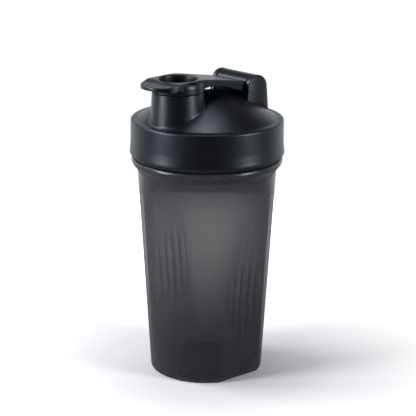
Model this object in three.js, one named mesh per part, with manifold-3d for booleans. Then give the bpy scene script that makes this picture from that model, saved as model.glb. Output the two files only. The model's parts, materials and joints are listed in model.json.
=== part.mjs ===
// Protein shaker bottle: translucent cup, screw lid with a spout, flip cap, sealing ring and mixing grid.
// Millimetres, +Z up. The origin is the centre of the foot, the spout faces -Y and the hinge lies at +Y.
import * as THREE from 'three';
import { mergeVertices } from 'three/addons/utils/BufferGeometryUtils.js';
import Module from 'manifold-3d';

const wasm = await Module();
wasm.setup();

// ---- driving dimensions ----

const clearance = 0.35;          // between pieces that rest on or slide in each other
const roundSegments = 40;

// cup
const footRadius = 36.6;
const cupRadius = 45.0;          // outside, where the wall meets the bead
const beadFoot = 136.2;          // height where the bead starts
const cupWall = 2.0;
const footRounding = 2.2;
const floorThickness = 3.4;
const floorFillet = 9.0;
const beadOverhang = 4.0;        // how far the bead stands out from the wall
const beadHeight = 8.0;
const neckStep = 0.4;            // how far the neck stands inside the wall
const neckHeight = 19.4;         // from the top of the bead to the rim
const cupTurn = -4.5;            // degrees from the lid's centre line to the grips' when the lid is tight

// grip faces on the two sides of the cup
const gripDepth = 3.8;           // how far the face cuts in at the foot
const gripBelowBead = 16.8;      // from the bead down to where the face runs out on the wall
const gripLean = 0.04;           // outward slope of the face at the foot
const gripRibs = [               // from the middle rib outwards: its foot, and its top below the face's top
  { foot: 24.5, below: 4.9 },
  { foot: 30.0, below: 7.4 },
  { foot: 39.5, below: 22.4 },
];
const ribPitch = 5.8;
const ribWidth = 3.6;
const ribHeight = 0.7;

// thread
const threadPitch = 5.0;
const threadTurns = 1.25;
const threadBase = 2.4;          // axial width of a ridge at its root
const threadCrest = 1.0;         // axial width of a ridge at its crest
const threadHeight = 1.7;        // of the neck's ridge
const threadRoom = 0.8;          // from its crest out to the collar's inner wall
const threadTip = 0.5;           // from the crest of the collar's ridge in to the neck
const threadStart = 4.8;         // centre of the neck thread's first end, above the bead

// lid
const collarWall = 2.9;          // at the widest line, just above the chamfer
const collarTaper = 0.6;
const collarGap = 1.0;           // from the bead up to the collar
const shoulderWall = 2.5;        // over the seal ring's pocket
const lidWall = 2.0;
const shoulderWidth = 7.4;       // from the collar's outside to the foot of the dome
const shoulderRise = 1.4;        // of the dome's foot above the shoulder
const domeHeight = 16.4;
const domePower = 1.72;          // the dome falls from its top as the radius to this power
const plugSkirtDepth = 10.0;
const plugSkirtWall = 2.0;
const sealHeight = 2.8;
const snapHeight = 2.4;          // of the grid's snap groove above the plug skirt's foot
const snapDepth = 0.9;
const snapLand = 0.4;            // flat crest of the grid's snap bead
const snapHalf = 0.3;            // play of the bead's crest in its groove, up and down
const grooveSlope = 0.5;

// spout
const spoutBore = 13.4;
const spoutWall = 1.4;           // of the narrow land that the flip cap's skirt goes over
const spoutLand = 4.6;           // height of that land
const skirtPlay = 0.6;           // from the land out to the flip cap's skirt
const spoutStep = 0.5;           // how far the spout stands inside the skirt, just under it
const spoutFlare = 1.2;          // how much wider it is at its foot
const spoutHeight = 25.8;        // from the shoulder to the rim
const spoutOverDome = 1.5;       // how far its foot passes the dome's foot

// hinge
const hingeInset = 13.6;         // from the dome's foot in to the hinge line
const hingeDrop = 8.8;           // from the spout's rim down to the hinge line
const knuckleRadius = 8.8;
const knuckleLength = 27.0;
const saddlePlay = 0.6;          // from the knuckle to the dome under it
const postThickness = 4.3;
const postMargin = 0.1;          // how much larger the posts' round tops are than the knuckle
const postDraft = 0.1;
const trunnionRadius = 2.6;
const trunnionLength = 2.6;
const trunnionPlay = 0.15;

// flip cap
const capRise = 3.5;             // of its top above the spout's rim
const capSkirtWall = 1.6;
const capShoulder = 2.55;        // from the skirt's outside in to the straight sides of the plate
const capThickness = 5.6;        // of the blade, from its top to its flat underside
const plateThickness = 3.0;      // over the spout
const tabReach = 9.4;            // how far the thumb tab stands out in front of the skirt
const tabDrop = 1.2;             // from the plate's top down to the tab's, where it leaves the skirt
const tabSlope = 0.4;            // how much lower still the tab's front edge is
const tabThickness = 1.4;
const tabFlange = 1.5;           // thickness of the flanges along the tab's sides
const armWaist = 1.4;            // how much narrower each side of the arm is at its middle
const plugPlay = 0.3;            // from the plug to the spout's bore
const plugWall = 1.1;
const plugDepth = 14.4;          // of the plug's foot below the cap's top

// mixing grid
const gridThickness = 1.6;
const gridRimHeight = 4.0;
const gridRimWall = 1.8;
const gridHole = 6.4;
const gridBar = 2.4;

// ---- sizes that follow from them ----

const beadTop = beadFoot + beadHeight;
const cupSlope = (cupRadius - footRadius) / beadFoot;
const wallRadius = (z) => footRadius + cupSlope * z;
const gripTop = beadFoot - gripBelowBead;
const neckRadius = cupRadius - neckStep;
const neckBore = neckRadius - cupWall;
const rimTop = beadTop + neckHeight;

const collarFoot = beadTop + collarGap;
const collarBore = neckRadius + threadHeight + threadRoom;
const collarRadius = collarBore + collarWall;
const collarThreadHeight = threadHeight + threadRoom - threadTip;
const threadRise = threadPitch * threadTurns;
// the collar's ridge runs under the neck's ridge, a clearance below its flank
const ridgeOffset = (3 * threadBase + 5 * threadCrest) / 8 + clearance;
const sealPocketTop = rimTop + sealHeight + 2 * clearance;
const shoulderZ = sealPocketTop + shoulderWall;
const skirtOuter = neckBore - clearance;
const skirtInner = skirtOuter - plugSkirtWall;
const skirtFoot = sealPocketTop - plugSkirtDepth;
const domeFoot = collarRadius - shoulderWidth;
const domeFootZ = shoulderZ + shoulderRise;
const domeZ = (r) => domeFootZ + domeHeight * (1 - Math.pow(Math.min(r / domeFoot, 1), domePower));

const spoutLandRadius = spoutBore + spoutWall;
const capSkirtBore = spoutLandRadius + skirtPlay;
const capSkirtRadius = capSkirtBore + capSkirtWall;
const spoutRadius = capSkirtRadius - spoutStep;
const spoutBaseRadius = spoutRadius + spoutFlare;
const spoutY = spoutBaseRadius - spoutOverDome - domeFoot;
const spoutRim = shoulderZ + spoutHeight;
const spoutLandFoot = spoutRim - spoutLand;

const hingeY = domeFoot - hingeInset;
const hingeZ = spoutRim - hingeDrop;
const saddleRadius = knuckleRadius + saddlePlay;
const postRadius = knuckleRadius + postMargin;
const postInner = knuckleLength / 2 + clearance;
const postOuter = postInner + postThickness;

const capTop = spoutRim + capRise;
const bladeFoot = capTop - capThickness;
const capSkirtFoot = spoutLandFoot + clearance;
const capHalfWidth = capSkirtRadius - capShoulder;
const tabFront = spoutY - capSkirtRadius - tabReach;
const plugRadius = spoutBore - plugPlay;
const plugHollow = plugRadius - plugWall;
// where the arm ends inside the knuckle, measured from the hinge line
const armIn = 0.68 * knuckleRadius;
const armOver = 0.61 * knuckleRadius;
const armUnder = 0.3 * knuckleRadius;

// ---- solids ----

function toSolid(geometry) {
  const bare = geometry.clone();
  bare.deleteAttribute('normal');
  bare.deleteAttribute('uv');
  const merged = mergeVertices(bare, 1e-4);
  return new wasm.Manifold(new wasm.Mesh({
    numProp: 3,
    vertProperties: new Float32Array(merged.attributes.position.array),
    triVerts: new Uint32Array(merged.index.array),
  }));
}

function toGeometry(solid) {
  const mesh = solid.getMesh();
  const geometry = new THREE.BufferGeometry();
  geometry.setAttribute('position', new THREE.BufferAttribute(mesh.vertProperties, 3));
  geometry.setIndex(new THREE.BufferAttribute(mesh.triVerts, 1));
  geometry.computeVertexNormals();
  return geometry;
}

// a profile of [radius, height] points turned round the vertical axis: closed, or ending on the axis
function turned(points, segments = roundSegments) {
  const profile = points.map(([r, z]) => new THREE.Vector2(r, z));
  const geometry = new THREE.LatheGeometry(profile, segments);
  geometry.rotateX(Math.PI / 2);
  return toSolid(geometry);
}

function solidTurned(points, segments) {
  const bottom = points[0][1];
  const top = points[points.length - 1][1];
  return turned([[0, bottom], ...points, [0, top]], segments);
}

// quarter of an ellipse from angle a to b (degrees), as [radius, height] points
function arcPoints(cr, cz, rr, rz, a, b, steps) {
  return Array.from({ length: steps + 1 }, (_, i) => {
    const t = THREE.MathUtils.degToRad(a + (b - a) * i / steps);
    return [cr + rr * Math.cos(t), cz + rz * Math.sin(t)];
  });
}

// an outline in the YZ plane, extruded along X between two places
function acrossX(shape, x0, x1, curveSegments = 24) {
  const geometry = new THREE.ExtrudeGeometry(shape, { depth: x1 - x0, bevelEnabled: false, curveSegments });
  geometry.applyMatrix4(new THREE.Matrix4().makeBasis(
    new THREE.Vector3(0, 1, 0), new THREE.Vector3(0, 0, 1), new THREE.Vector3(1, 0, 0)));
  geometry.translate(x0, 0, 0);
  return toSolid(geometry);
}

// an outline in the XY plane, extruded upwards
function upright(shape, z0, z1, curveSegments = 12) {
  const geometry = new THREE.ExtrudeGeometry(shape, { depth: z1 - z0, bevelEnabled: false, curveSegments });
  geometry.translate(0, 0, z0);
  return toSolid(geometry);
}

// a rod on the hinge line, reaching as far to either side
function rodAlongX(radius, reach, segments = 40) {
  const geometry = new THREE.CylinderGeometry(radius, radius, 2 * reach, segments);
  geometry.rotateZ(Math.PI / 2);
  geometry.translate(0, hingeY, hingeZ);
  return toSolid(geometry);
}

// a thread ridge: a trapezoid extruded straight, then wrapped round the axis while it climbs.
// reach is the ridge's height, positive outwards; its root sinks a little into the wall.
function threadRidge(rootRadius, reach, startZ) {
  const sink = 0.3 * Math.sign(reach);
  const endHeight = 0.15;        // share of the ridge's height left at its two ends
  const section = new THREE.Shape([
    new THREE.Vector2(-sink, -threadBase / 2),
    new THREE.Vector2(reach, -threadCrest / 2),
    new THREE.Vector2(reach, threadCrest / 2),
    new THREE.Vector2(-sink, threadBase / 2),
  ]);
  const steps = Math.round(threadTurns * roundSegments);
  const geometry = new THREE.ExtrudeGeometry(section, { depth: 1, steps, bevelEnabled: false });
  const position = geometry.attributes.position;
  const runOut = 3 / steps;
  for (let i = 0; i < position.count; i += 1) {
    const along = 1 - position.getZ(i);
    const fade = Math.min(1, endHeight + along / runOut, endHeight + (1 - along) / runOut);
    const angle = along * threadTurns * 2 * Math.PI;
    const radius = rootRadius + position.getX(i) * (position.getX(i) * reach > 0 ? fade : 1);
    const height = startZ + along * threadRise + position.getY(i);
    position.setXYZ(i, radius * Math.cos(angle), radius * Math.sin(angle), height);
  }
  return toSolid(geometry);
}

// ---- cup ----

// the grip face leans out along a parabola from the foot to where it runs out on the wall
function gripFace(offset) {
  const foot = wallRadius(0) - gripDepth - offset;
  const top = wallRadius(gripTop) - offset;
  const bend = foot + gripLean * gripTop / 2;
  const outside = cupRadius + 10;
  const below = -5;
  const shape = new THREE.Shape();
  shape.moveTo(foot, 0);
  shape.quadraticCurveTo(bend, gripTop / 2, top, gripTop);
  shape.lineTo(outside, gripTop);
  shape.lineTo(outside, below);
  shape.lineTo(foot, below);
  return shape;
}

// distance of the grip face from the axis at height z
function gripDistance(z) {
  const foot = wallRadius(0) - gripDepth;
  const rise = wallRadius(gripTop) - foot - gripLean * gripTop;
  return foot + gripLean * z + rise * (z / gripTop) ** 2;
}

function gripCutter(offset, side) {
  const geometry = new THREE.ExtrudeGeometry(gripFace(offset), {
    depth: 2 * cupRadius, bevelEnabled: false, curveSegments: 14,
  });
  geometry.rotateX(Math.PI / 2);
  geometry.translate(0, cupRadius, 0);
  if (side < 0) geometry.rotateZ(Math.PI);
  return toSolid(geometry);
}

// a rib is a long pointed lens in the grip face, swept as rounded cross-sections along its height
function gripRib(rib, across, side) {
  const top = gripTop - rib.below;
  const sink = 0.05;
  const geometry = new THREE.SphereGeometry(1, 8, 10);
  geometry.rotateX(Math.PI / 2);
  geometry.scale(ribHeight, ribWidth / 2, (top - rib.foot) / 2);
  const position = geometry.attributes.position;
  for (let i = 0; i < position.count; i += 1) {
    const z = position.getZ(i) + (top + rib.foot) / 2;
    position.setXYZ(i, position.getX(i) + gripDistance(z) - sink, position.getY(i) + across, z);
  }
  if (side < 0) geometry.rotateZ(Math.PI);
  return toSolid(geometry);
}

function makeCup() {
  const r = footRounding;
  const rimChamfer = 0.7;
  const bead = [[0.3, 0.2], [0.78, 0.5], [1.0, 0.74], [0.94, 0.94], [0.75, 1.0]]
    .map(([out, up]) => [cupRadius + out * beadOverhang, beadFoot + up * beadHeight]);
  const outer = solidTurned([
    ...arcPoints(footRadius - r, r, r, r, -90, 0, 4),
    [cupRadius, beadFoot],
    ...bead,
    [neckRadius, beadTop],
    [neckRadius, rimTop - rimChamfer],
    [neckRadius - rimChamfer, rimTop],
  ]);
  const innerFoot = wallRadius(floorThickness) - cupWall;
  const overRim = 0.1;
  let inner = solidTurned([
    ...arcPoints(innerFoot - floorFillet, floorThickness + floorFillet, floorFillet, floorFillet, -90, 0, 6),
    [neckBore, beadFoot],
    [neckBore, rimTop - rimChamfer],
    [neckBore + rimChamfer, rimTop + overRim],
  ]);
  let body = outer;
  for (const side of [1, -1]) {
    body = body.subtract(gripCutter(0, side));
    inner = inner.subtract(gripCutter(cupWall, side));
  }
  let cup = body.subtract(inner);
  cup = cup.add(threadRidge(neckRadius, threadHeight, beadTop + threadStart));
  const outermost = gripRibs.length - 1;
  for (const side of [1, -1]) {
    for (let i = -outermost; i <= outermost; i += 1) {
      cup = cup.add(gripRib(gripRibs[Math.abs(i)], i * ribPitch * side, side));
    }
  }
  return cup;
}

// ---- lid ----

function lidOutside() {
  const footChamfer = 1.3;
  const widest = collarFoot + 2.3;
  const widestHeight = 1.0;
  const rounding = 2.8;
  const crease = { out: 2.2, drop: 0.2, in: 0.8, rise: 0.4 };   // between shoulder and dome
  const shoulderEdge = collarRadius - collarTaper - rounding;
  const domeSteps = 12;
  const dome = Array.from({ length: domeSteps }, (_, i) => {
    const radius = domeFoot * (1 - i / domeSteps);
    return [radius, domeZ(radius)];
  });
  return turned([
    [0, collarFoot],
    [collarRadius - footChamfer, collarFoot],
    [collarRadius, widest],
    [collarRadius, widest + widestHeight],
    ...arcPoints(shoulderEdge, shoulderZ - rounding, rounding, rounding, 0, 90, 5),
    [domeFoot + crease.out, shoulderZ - crease.drop],
    [domeFoot + crease.in, shoulderZ + crease.rise],
    ...dome,
    [0, domeZ(0)],
  ]);
}

function lidCavity() {
  const under = collarFoot - 2 * gridRimHeight;   // well below the collar, so that the hollow is open
  const innerSteps = 8;
  const slant = 1.15;            // a sloping wall is this much thicker when measured upright
  const cornerInset = 0.5;
  const cornerDrop = 0.4;
  const innerDome = Array.from({ length: innerSteps }, (_, i) => {
    const radius = (skirtInner - cornerInset) * (1 - i / innerSteps);
    return [radius, Math.min(domeZ(radius) - lidWall * slant, domeZ(0) - lidWall)];
  });
  const grooveFoot = skirtFoot + snapHeight - snapHalf;
  const grooveTop = skirtFoot + snapHeight + snapLand + snapHalf;
  const hollow = turned([
    [0, under],
    [skirtInner, under],
    [skirtInner, grooveFoot - grooveSlope],
    [skirtInner + snapDepth, grooveFoot],
    [skirtInner + snapDepth, grooveTop],
    [skirtInner, grooveTop + grooveSlope],
    [skirtInner, sealPocketTop - cornerDrop],
    ...innerDome,
    [0, domeZ(0) - lidWall],
  ]);
  const chamfer = 0.7;
  const overlap = 0.1;
  const ring = turned([
    [skirtOuter, skirtFoot + chamfer],
    [skirtOuter - chamfer, skirtFoot],
    [skirtInner - overlap, skirtFoot],
    [skirtInner - overlap, collarFoot - chamfer],
    [collarBore + chamfer / 2, collarFoot - chamfer],
    [collarBore + chamfer / 2, collarFoot],
    [collarBore, collarFoot + chamfer],
    [collarBore, sealPocketTop],
    [skirtOuter, sealPocketTop],
    [skirtOuter, skirtFoot + chamfer],
  ]);
  return hollow.add(ring);
}

function spoutOutside() {
  const rimChamfer = 0.6;
  return solidTurned([
    [spoutBaseRadius, domeFootZ - 1],
    [spoutRadius, spoutLandFoot],
    [spoutLandRadius, spoutLandFoot],
    [spoutLandRadius, spoutRim - rimChamfer],
    [spoutLandRadius - rimChamfer, spoutRim],
  ], 48).translate([0, spoutY, 0]);
}

function post(side) {
  const foot = domeFootZ - 1;
  const flare = postRadius + postDraft * (hingeZ - foot);
  const shape = new THREE.Shape();
  shape.moveTo(hingeY - flare, foot);
  shape.lineTo(hingeY + flare, foot);
  shape.lineTo(hingeY + postRadius, hingeZ);
  shape.absarc(hingeY, hingeZ, postRadius, 0, Math.PI, false);
  shape.lineTo(hingeY - flare, foot);
  const x0 = side > 0 ? postInner : -postOuter;
  return acrossX(shape, x0, x0 + postThickness);
}

function makeLid() {
  let lid = lidOutside().add(spoutOutside());
  for (const side of [1, -1]) {
    lid = lid.add(post(side));
  }
  // the dome keeps its wall under the knuckle's saddle
  const saddleWall = rodAlongX(saddleRadius + lidWall, postInner + lidWall);
  const socket = rodAlongX(trunnionRadius + trunnionPlay, postInner + trunnionLength + clearance, 32);
  const boreLength = 2 * (spoutRim - shoulderZ);
  const bore = new THREE.CylinderGeometry(spoutBore, spoutBore, boreLength, 48);
  bore.rotateX(Math.PI / 2);
  bore.translate(0, spoutY, spoutRim);
  return lid
    .subtract(lidCavity().subtract(saddleWall))
    .subtract(rodAlongX(saddleRadius, postInner))
    .subtract(socket)
    .subtract(toSolid(bore))
    .add(threadRidge(collarBore, -collarThreadHeight, beadTop + threadStart - ridgeOffset));
}

// ---- flip cap ----

// the plan of the blade: a round thumb tab, straight sides past the spout, and the arm back to the knuckle
function bladePlan() {
  const armSteps = 6;
  const armFront = spoutY + 0.65 * capSkirtRadius;
  const tab = arcPoints(0, tabFront + capHalfWidth, capHalfWidth, capHalfWidth, -90, 0, 8);
  const arm = Array.from({ length: armSteps + 1 }, (_, i) => {
    const t = i / armSteps;
    const width = THREE.MathUtils.lerp(capHalfWidth, knuckleLength / 2, t) - armWaist * 4 * t * (1 - t);
    return [width, THREE.MathUtils.lerp(armFront, hingeY - knuckleRadius, t)];
  });
  const half = [...tab, ...arm, [knuckleLength / 2, hingeY]];
  const rightSide = half.map(([x, y]) => new THREE.Vector2(x, y));
  const leftSide = half.slice(1).reverse().map(([x, y]) => new THREE.Vector2(-x, y));
  return new THREE.Shape([...rightSide, ...leftSide]);
}

// the side view of the blade: down the tab's front, back along the underside, then forward along the top
function bladeSide() {
  const armSteps = 8;
  const armBack = hingeY - armIn;
  const footFront = spoutY + capSkirtRadius;
  const topFront = spoutY + 0.7 * capSkirtRadius;
  const underside = Array.from({ length: armSteps + 1 }, (_, i) => {
    const t = i / armSteps;
    const z = THREE.MathUtils.lerp(bladeFoot, hingeZ - armUnder, Math.pow(t, 1.45));
    return [THREE.MathUtils.lerp(footFront, armBack, t), z];
  });
  const top = Array.from({ length: armSteps + 1 }, (_, i) => {
    const t = 1 - i / armSteps;
    const z = THREE.MathUtils.lerp(capTop, hingeZ + armOver, Math.pow(t, 0.9));
    return [THREE.MathUtils.lerp(topFront, armBack, t), z];
  });
  return new THREE.Shape([
    [tabFront, capTop - tabDrop - tabSlope],
    [tabFront, bladeFoot],
    ...underside,
    ...top,
    [spoutY - 0.68 * capSkirtRadius, capTop],
    [spoutY - capSkirtRadius - 1, capTop - tabDrop],
  ].map(([y, z]) => new THREE.Vector2(y, z)));
}

// the room for a thumb under the tab, open at the front and between the two side flanges
function thumbRoom() {
  const half = capHalfWidth - tabFlange;
  const ceiling = capTop - tabDrop - tabSlope - tabThickness;
  const shape = new THREE.Shape([
    [-half, tabFront - 1], [half, tabFront - 1], [half, spoutY], [-half, spoutY],
  ].map(([x, y]) => new THREE.Vector2(x, y)));
  return upright(shape, bladeFoot - 1, ceiling);
}

function makeFlipCap() {
  const atSpout = (points) => solidTurned(points, 48).translate([0, spoutY, 0]);
  const blade = upright(bladePlan(), hingeZ - knuckleRadius, capTop + 1)
    .intersect(acrossX(bladeSide(), -capHalfWidth - 1, capHalfWidth + 1))
    .subtract(thumbRoom());
  const roundFoot = capTop - 3.6;   // the skirt's shoulder starts to round off here
  const skirt = atSpout([
    [capSkirtRadius, capSkirtFoot],
    [capSkirtRadius, roundFoot],
    [capSkirtRadius - 0.9, roundFoot + 2],
    [capHalfWidth, capTop],
  ]);
  const spoutRoom = atSpout([
    [capSkirtBore, capSkirtFoot - 1],
    [capSkirtBore, capTop - plateThickness],
  ]);
  // the plug narrows downwards, so that it leaves the bore freely as the cap swings
  const plugFoot = capTop - plugDepth;
  const taperStart = spoutRim - 0.6;
  const taperKnee = spoutRim - 7;
  const taper = { knee: 0.8, foot: 1.5 };
  const plug = atSpout([
    [plugRadius - taper.foot, plugFoot],
    [plugRadius - taper.knee, taperKnee],
    [plugRadius, taperStart],
    [plugRadius, capTop - 1],
  ]);
  const rounding = 0.8;
  const hollowFoot = plugFoot + plugWall;
  const hollow = atSpout([
    [plugHollow - taper.foot - taper.knee / 2, hollowFoot],
    [plugHollow - taper.foot + taper.knee / 2, hollowFoot + 2 * plugWall],
    [plugHollow - taper.knee / 2, taperKnee + 3],
    [plugHollow, capTop - rounding],
    [plugHollow + rounding, capTop],
    [plugHollow + rounding, capTop + 1],
  ]);
  const knuckle = rodAlongX(knuckleRadius, knuckleLength / 2);
  const trunnions = rodAlongX(trunnionRadius, postInner + trunnionLength, 32);
  return blade.add(skirt).subtract(spoutRoom).add(plug).subtract(hollow).add(knuckle).add(trunnions);
}

// ---- pieces held inside the lid ----

function makeSealRing() {
  const inner = skirtOuter + clearance;
  const outer = collarBore - clearance;
  const foot = rimTop + clearance;
  const top = foot + sealHeight;
  const edge = 0.5;
  return turned([
    [inner + edge, foot], [outer - edge, foot], [outer, foot + edge], [outer, top - edge],
    [outer - edge, top], [inner + edge, top], [inner, top - edge], [inner, foot + edge],
    [inner + edge, foot],
  ]);
}

function makeMixingGrid() {
  const outer = skirtInner - clearance;
  const inner = outer - gridRimWall;
  const belowSkirt = 0.4;        // the rim shows this far under the plug skirt, to be pulled out by
  const foot = skirtFoot - belowSkirt;
  const snap = skirtFoot + snapHeight;
  const crest = outer + snapDepth - 0.1;
  const rim = turned([
    [inner, foot], [outer, foot], [outer, snap - grooveSlope], [crest, snap],
    [crest, snap + snapLand], [outer, snap + snapLand + grooveSlope], [outer, foot + gridRimHeight],
    [inner, foot + gridRimHeight], [inner, foot],
  ]);
  let grid = rim.add(solidTurned([
    [outer - gridRimWall / 2, foot],
    [outer - gridRimWall / 2, foot + gridThickness],
  ]));
  const pitch = gridHole + gridBar;
  const edgeBar = 0.8;           // least material between a hole's corner and the rim
  const reach = inner - edgeBar;
  const count = Math.floor(reach / pitch);
  for (let i = -count; i <= count; i += 1) {
    for (let j = -count; j <= count; j += 1) {
      const corner = Math.hypot(Math.abs(i * pitch) + gridHole / 2, Math.abs(j * pitch) + gridHole / 2);
      if (corner < reach) {
        const hole = new THREE.BoxGeometry(gridHole, gridHole, 4 * gridThickness);
        hole.translate(i * pitch, j * pitch, foot);
        grid = grid.subtract(toSolid(hole));
      }
    }
  }
  return grid;
}

// ---- the assembly ----

function named(name, solid, colour, roughness, opacity = 1) {
  const material = new THREE.MeshStandardMaterial({
    color: colour, roughness, metalness: 0, transparent: opacity < 1, opacity,
  });
  const mesh = new THREE.Mesh(toGeometry(solid), material);
  mesh.name = name;
  return mesh;
}

const group = new THREE.Group();
const cup = named('cup', makeCup(), 0x55565a, 0.4, 0.6);
cup.rotation.z = THREE.MathUtils.degToRad(cupTurn);
group.add(
  cup,
  named('lid', makeLid(), 0x15161a, 0.42),
  named('flip_cap', makeFlipCap(), 0x15161a, 0.42),
  named('seal_ring', makeSealRing(), 0xd9dbdc, 0.6),
  named('mixing_grid', makeMixingGrid(), 0x1b1c20, 0.5),
);

export default group;
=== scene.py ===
import json
import math

import bpy
import numpy as np
from mathutils import Matrix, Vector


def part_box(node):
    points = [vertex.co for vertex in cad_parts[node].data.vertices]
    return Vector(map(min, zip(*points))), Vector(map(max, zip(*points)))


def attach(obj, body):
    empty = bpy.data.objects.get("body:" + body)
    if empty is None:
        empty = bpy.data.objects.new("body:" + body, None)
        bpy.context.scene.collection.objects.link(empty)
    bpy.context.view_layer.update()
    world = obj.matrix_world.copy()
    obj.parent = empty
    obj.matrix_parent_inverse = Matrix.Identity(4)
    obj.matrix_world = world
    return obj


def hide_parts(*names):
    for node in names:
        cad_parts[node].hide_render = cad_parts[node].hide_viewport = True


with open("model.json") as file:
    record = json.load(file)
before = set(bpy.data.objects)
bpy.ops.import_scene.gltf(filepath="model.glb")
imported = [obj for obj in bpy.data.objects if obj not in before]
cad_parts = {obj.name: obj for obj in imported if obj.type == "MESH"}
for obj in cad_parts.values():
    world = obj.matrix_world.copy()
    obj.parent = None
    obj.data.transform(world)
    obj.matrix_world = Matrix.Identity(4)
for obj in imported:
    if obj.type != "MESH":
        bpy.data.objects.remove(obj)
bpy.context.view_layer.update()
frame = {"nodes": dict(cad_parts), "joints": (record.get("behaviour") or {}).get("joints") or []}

mm = 0.001


def nodeBox(name):  # lowest and highest corner of a node, in millimetres
    low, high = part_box(name)
    return np.array(low) / mm, np.array(high) / mm


cupHigh = nodeBox("cup")[1]
lidLow, lidHigh = nodeBox("lid")
capLow, capHigh = nodeBox("flip_cap")
ringLow, ringHigh = nodeBox("seal_ring")
hinge = next(j for j in frame["joints"] if j["name"] == "cap_flip")["pos_m"]
hingeY, hingeZ = hinge[1] / mm, hinge[2] / mm
rimTop = cupHigh[2]          # rim of the cup's neck
collarFoot = lidLow[2]       # underside of the lid's collar
capTop = capHigh[2]          # top of the flip cap's plate
tabFront = capLow[1]         # front of its thumb tab
print("frame read: rim %.1f, collar %.1f, cap %.1f" % (rimTop, collarFoot, capTop))


# smallest of a and b, rounded off where they cross: a quadratic blend over the width k
def softMin(a, b, k):
    share = np.clip(0.5 + 0.5 * (b - a) / k, 0, 1)
    return b + (a - b) * share - k * share * (1 - share)


def softMax(a, b, k):
    return -softMin(-a, -b, k)


# 0 to 1 along an S: 3t^2 - 2t^3
def ease(t):
    t = np.clip(t, 0, 1)
    return t * t * (3 - 2 * t)


profileRules = {
    "straight": 1.566,           # half angle past which a corner counts as straight
    "mostCut": 0.48,             # share of a leg that an arc may take up
    "step": 3.0,
    "endGap": 0.3,               # how close to a leg's ends its first and last point lie
    "endShare": 0.25,
    "shortest": 0.05,            # a leg under this gets no points of its own
}


# points along the arc from start to end about a centre
def arcPoints(start, end, centre, steps):
    a = math.atan2(*(start - centre)[::-1])
    b = math.atan2(*(end - centre)[::-1])
    b += 2 * math.pi * round((a - b) / (2 * math.pi))
    turn = a + (b - a) * np.linspace(0, 1, steps + 1)
    reach = np.linalg.norm(start - centre)
    return centre + reach * np.stack([np.cos(turn), np.sin(turn)], -1)


# a profile of corners (r, z, rounding, step): each corner becomes an arc tangent to its two legs,
# and the leg that follows is cut into lengths of about step, with a point close to each end
def softened(corners, closed=False, arcSteps=4):
    rules = profileRules
    spots = [np.array(c[:2], float) for c in corners]
    count = len(corners)
    arcs = []
    for i, corner in enumerate(corners):
        inside = closed or 0 < i < count - 1
        rounding = corner[2] if len(corner) > 2 else 0
        if not inside or rounding == 0:
            arcs.append(spots[i][None])
            continue
        back = spots[i - 1] - spots[i]
        ahead = spots[(i + 1) % count] - spots[i]
        legs = np.linalg.norm(back), np.linalg.norm(ahead)
        back, ahead = back / legs[0], ahead / legs[1]
        half = math.acos(max(-1, min(1, float(back @ ahead)))) / 2
        if half > rules["straight"]:
            arcs.append(spots[i][None])
            continue
        cut = min(rounding / math.tan(half), rules["mostCut"] * min(legs))
        middle = back + ahead
        centre = spots[i] + middle / np.linalg.norm(middle) * cut / math.cos(half)
        arcs.append(arcPoints(spots[i] + back * cut, spots[i] + ahead * cut, centre, arcSteps))
    line = []
    for i in range(count):
        line.append(arcs[i])
        if i == count - 1 and not closed:
            break
        start, end = arcs[i][-1], arcs[(i + 1) % count][0]
        length = np.linalg.norm(end - start)
        step = corners[i][3] if len(corners[i]) > 3 else rules["step"]
        near = min(rules["endGap"], rules["endShare"] * length)
        if length > rules["shortest"]:
            inner = np.linspace(near, length - near, max(2, int(length / step) + 1)) / length
            line.append(start + (end - start) * inner[:, None])
    return np.concatenate(line)


# a profile of (r, z) carried round an upright axis: x = cx + r cos a, y = cy + r sin a
def turned(profile, angles, centre=(0, 0)):
    r, z = profile[:, :1], profile[:, 1:2]
    flat = np.ones_like(angles)
    return np.stack([centre[0] + r * np.cos(angles), centre[1] + r * np.sin(angles), z * flat], -1)


# rows x columns of points made into a closed skin: columns meet round the side, and either the last row
# meets the first or the two end rows shrink to poles. Its faces are turned to look outwards.
def skin(points, loop=False):
    rows, cols = points.shape[:2]
    here = np.arange(cols)
    beside = (here + 1) % cols
    if loop:
        spots = points.reshape(-1, 3)
        row = np.arange(rows)[:, None]
        above = (row + 1) % rows
        tris = np.zeros((0, 3), int)
    else:
        poles = np.stack([points[0].mean(0), points[-1].mean(0)])
        spots = np.concatenate([points[1:-1].reshape(-1, 3), poles])
        row = np.arange(rows - 3)[:, None]
        above = row + 1
        first, last, base = len(spots) - 2, len(spots) - 1, (rows - 3) * cols
        tris = np.concatenate([
            np.stack([np.full(cols, first), beside, here], -1),
            np.stack([np.full(cols, last), base + here, base + beside], -1),
        ])
    ends = (row * cols + here, row * cols + beside, above * cols + beside, above * cols + here)
    quads = np.stack(np.broadcast_arrays(*ends), -1).reshape(-1, 4)
    corner = np.concatenate([quads[:, :3], quads[:, [0, 2, 3]], tris])
    a, b, c = (spots[corner[:, i]] for i in range(3))
    if np.einsum("ij,ij->i", a, np.cross(b, c)).sum() < 0:
        quads, tris = quads[:, ::-1], tris[:, ::-1]
    return spots, quads, tris


# several skins joined into one smooth-shaded piece
def makePiece(name, skins, material):
    spots, faces, offset = [], [], 0
    for points, quads, tris in skins:
        spots.append(points)
        faces += (quads + offset).tolist() + (tris + offset).tolist()
        offset += len(points)
    mesh = bpy.data.meshes.new(name)
    mesh.from_pydata(np.concatenate(spots) * mm, [], faces)
    mesh.polygons.foreach_set("use_smooth", np.ones(len(mesh.polygons), bool))
    mesh.update()
    piece = bpy.data.objects.new(name, mesh)
    bpy.context.scene.collection.objects.link(piece)
    mesh.materials.append(material)
    print("made %s: %d faces" % (name, len(mesh.polygons)))
    return piece


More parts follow.
